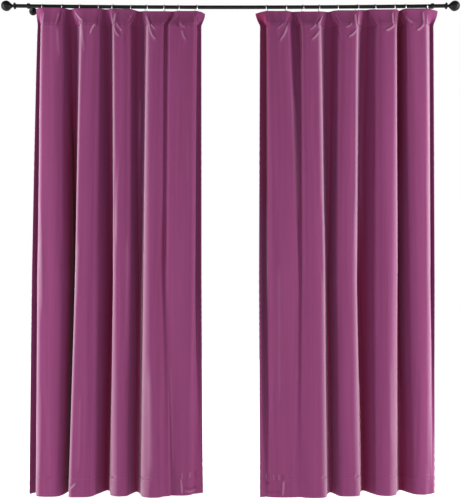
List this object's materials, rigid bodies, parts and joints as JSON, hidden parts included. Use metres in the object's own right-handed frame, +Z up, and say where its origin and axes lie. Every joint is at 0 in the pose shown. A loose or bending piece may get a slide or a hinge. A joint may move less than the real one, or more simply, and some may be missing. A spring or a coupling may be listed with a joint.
{
  "type": "pair of blackout curtains on a curtain rod",
  "caption": "Parted velvet blackout curtains with stiff ring-hung headings, hanging in soft folds from a thin wall-mounted rod with ball finials.",
  "frame": {"origin": "on the wall plane, midway between the two brackets, at the height of the rod's axis over the brackets", "axes": "+X along the rod to the right as seen from the room, +Y into the wall, +Z up"},
  "size_m": [2.0178, 0.1479, 2.1672],
  "materials": {
    "velvet": "plum velvet pile with a soft sheen",
    "black_metal": "satin black",
    "ring_steel": "bright thin wire"
  },
  "bodies": {
    "root": {"rod": "black_metal", "finial_left": "black_metal", "finial_right": "black_metal", "bracket_left": "black_metal", "bracket_right": "black_metal", "panel_left": "velvet", "panel_right": "velvet", "ring_left_01": "ring_steel", "ring_left_02": "ring_steel", "ring_left_03": "ring_steel", "ring_left_04": "ring_steel", "ring_left_05": "ring_steel", "ring_left_06": "ring_steel", "ring_left_07": "ring_steel", "ring_left_08": "ring_steel", "ring_left_09": "ring_steel", "ring_left_10": "ring_steel", "ring_right_01": "ring_steel", "ring_right_02": "ring_steel", "ring_right_03": "ring_steel", "ring_right_04": "ring_steel", "ring_right_05": "ring_steel", "ring_right_06": "ring_steel", "ring_right_07": "ring_steel", "ring_right_08": "ring_steel", "ring_right_09": "ring_steel", "ring_right_10": "ring_steel"}
  },
  "joints": []
}
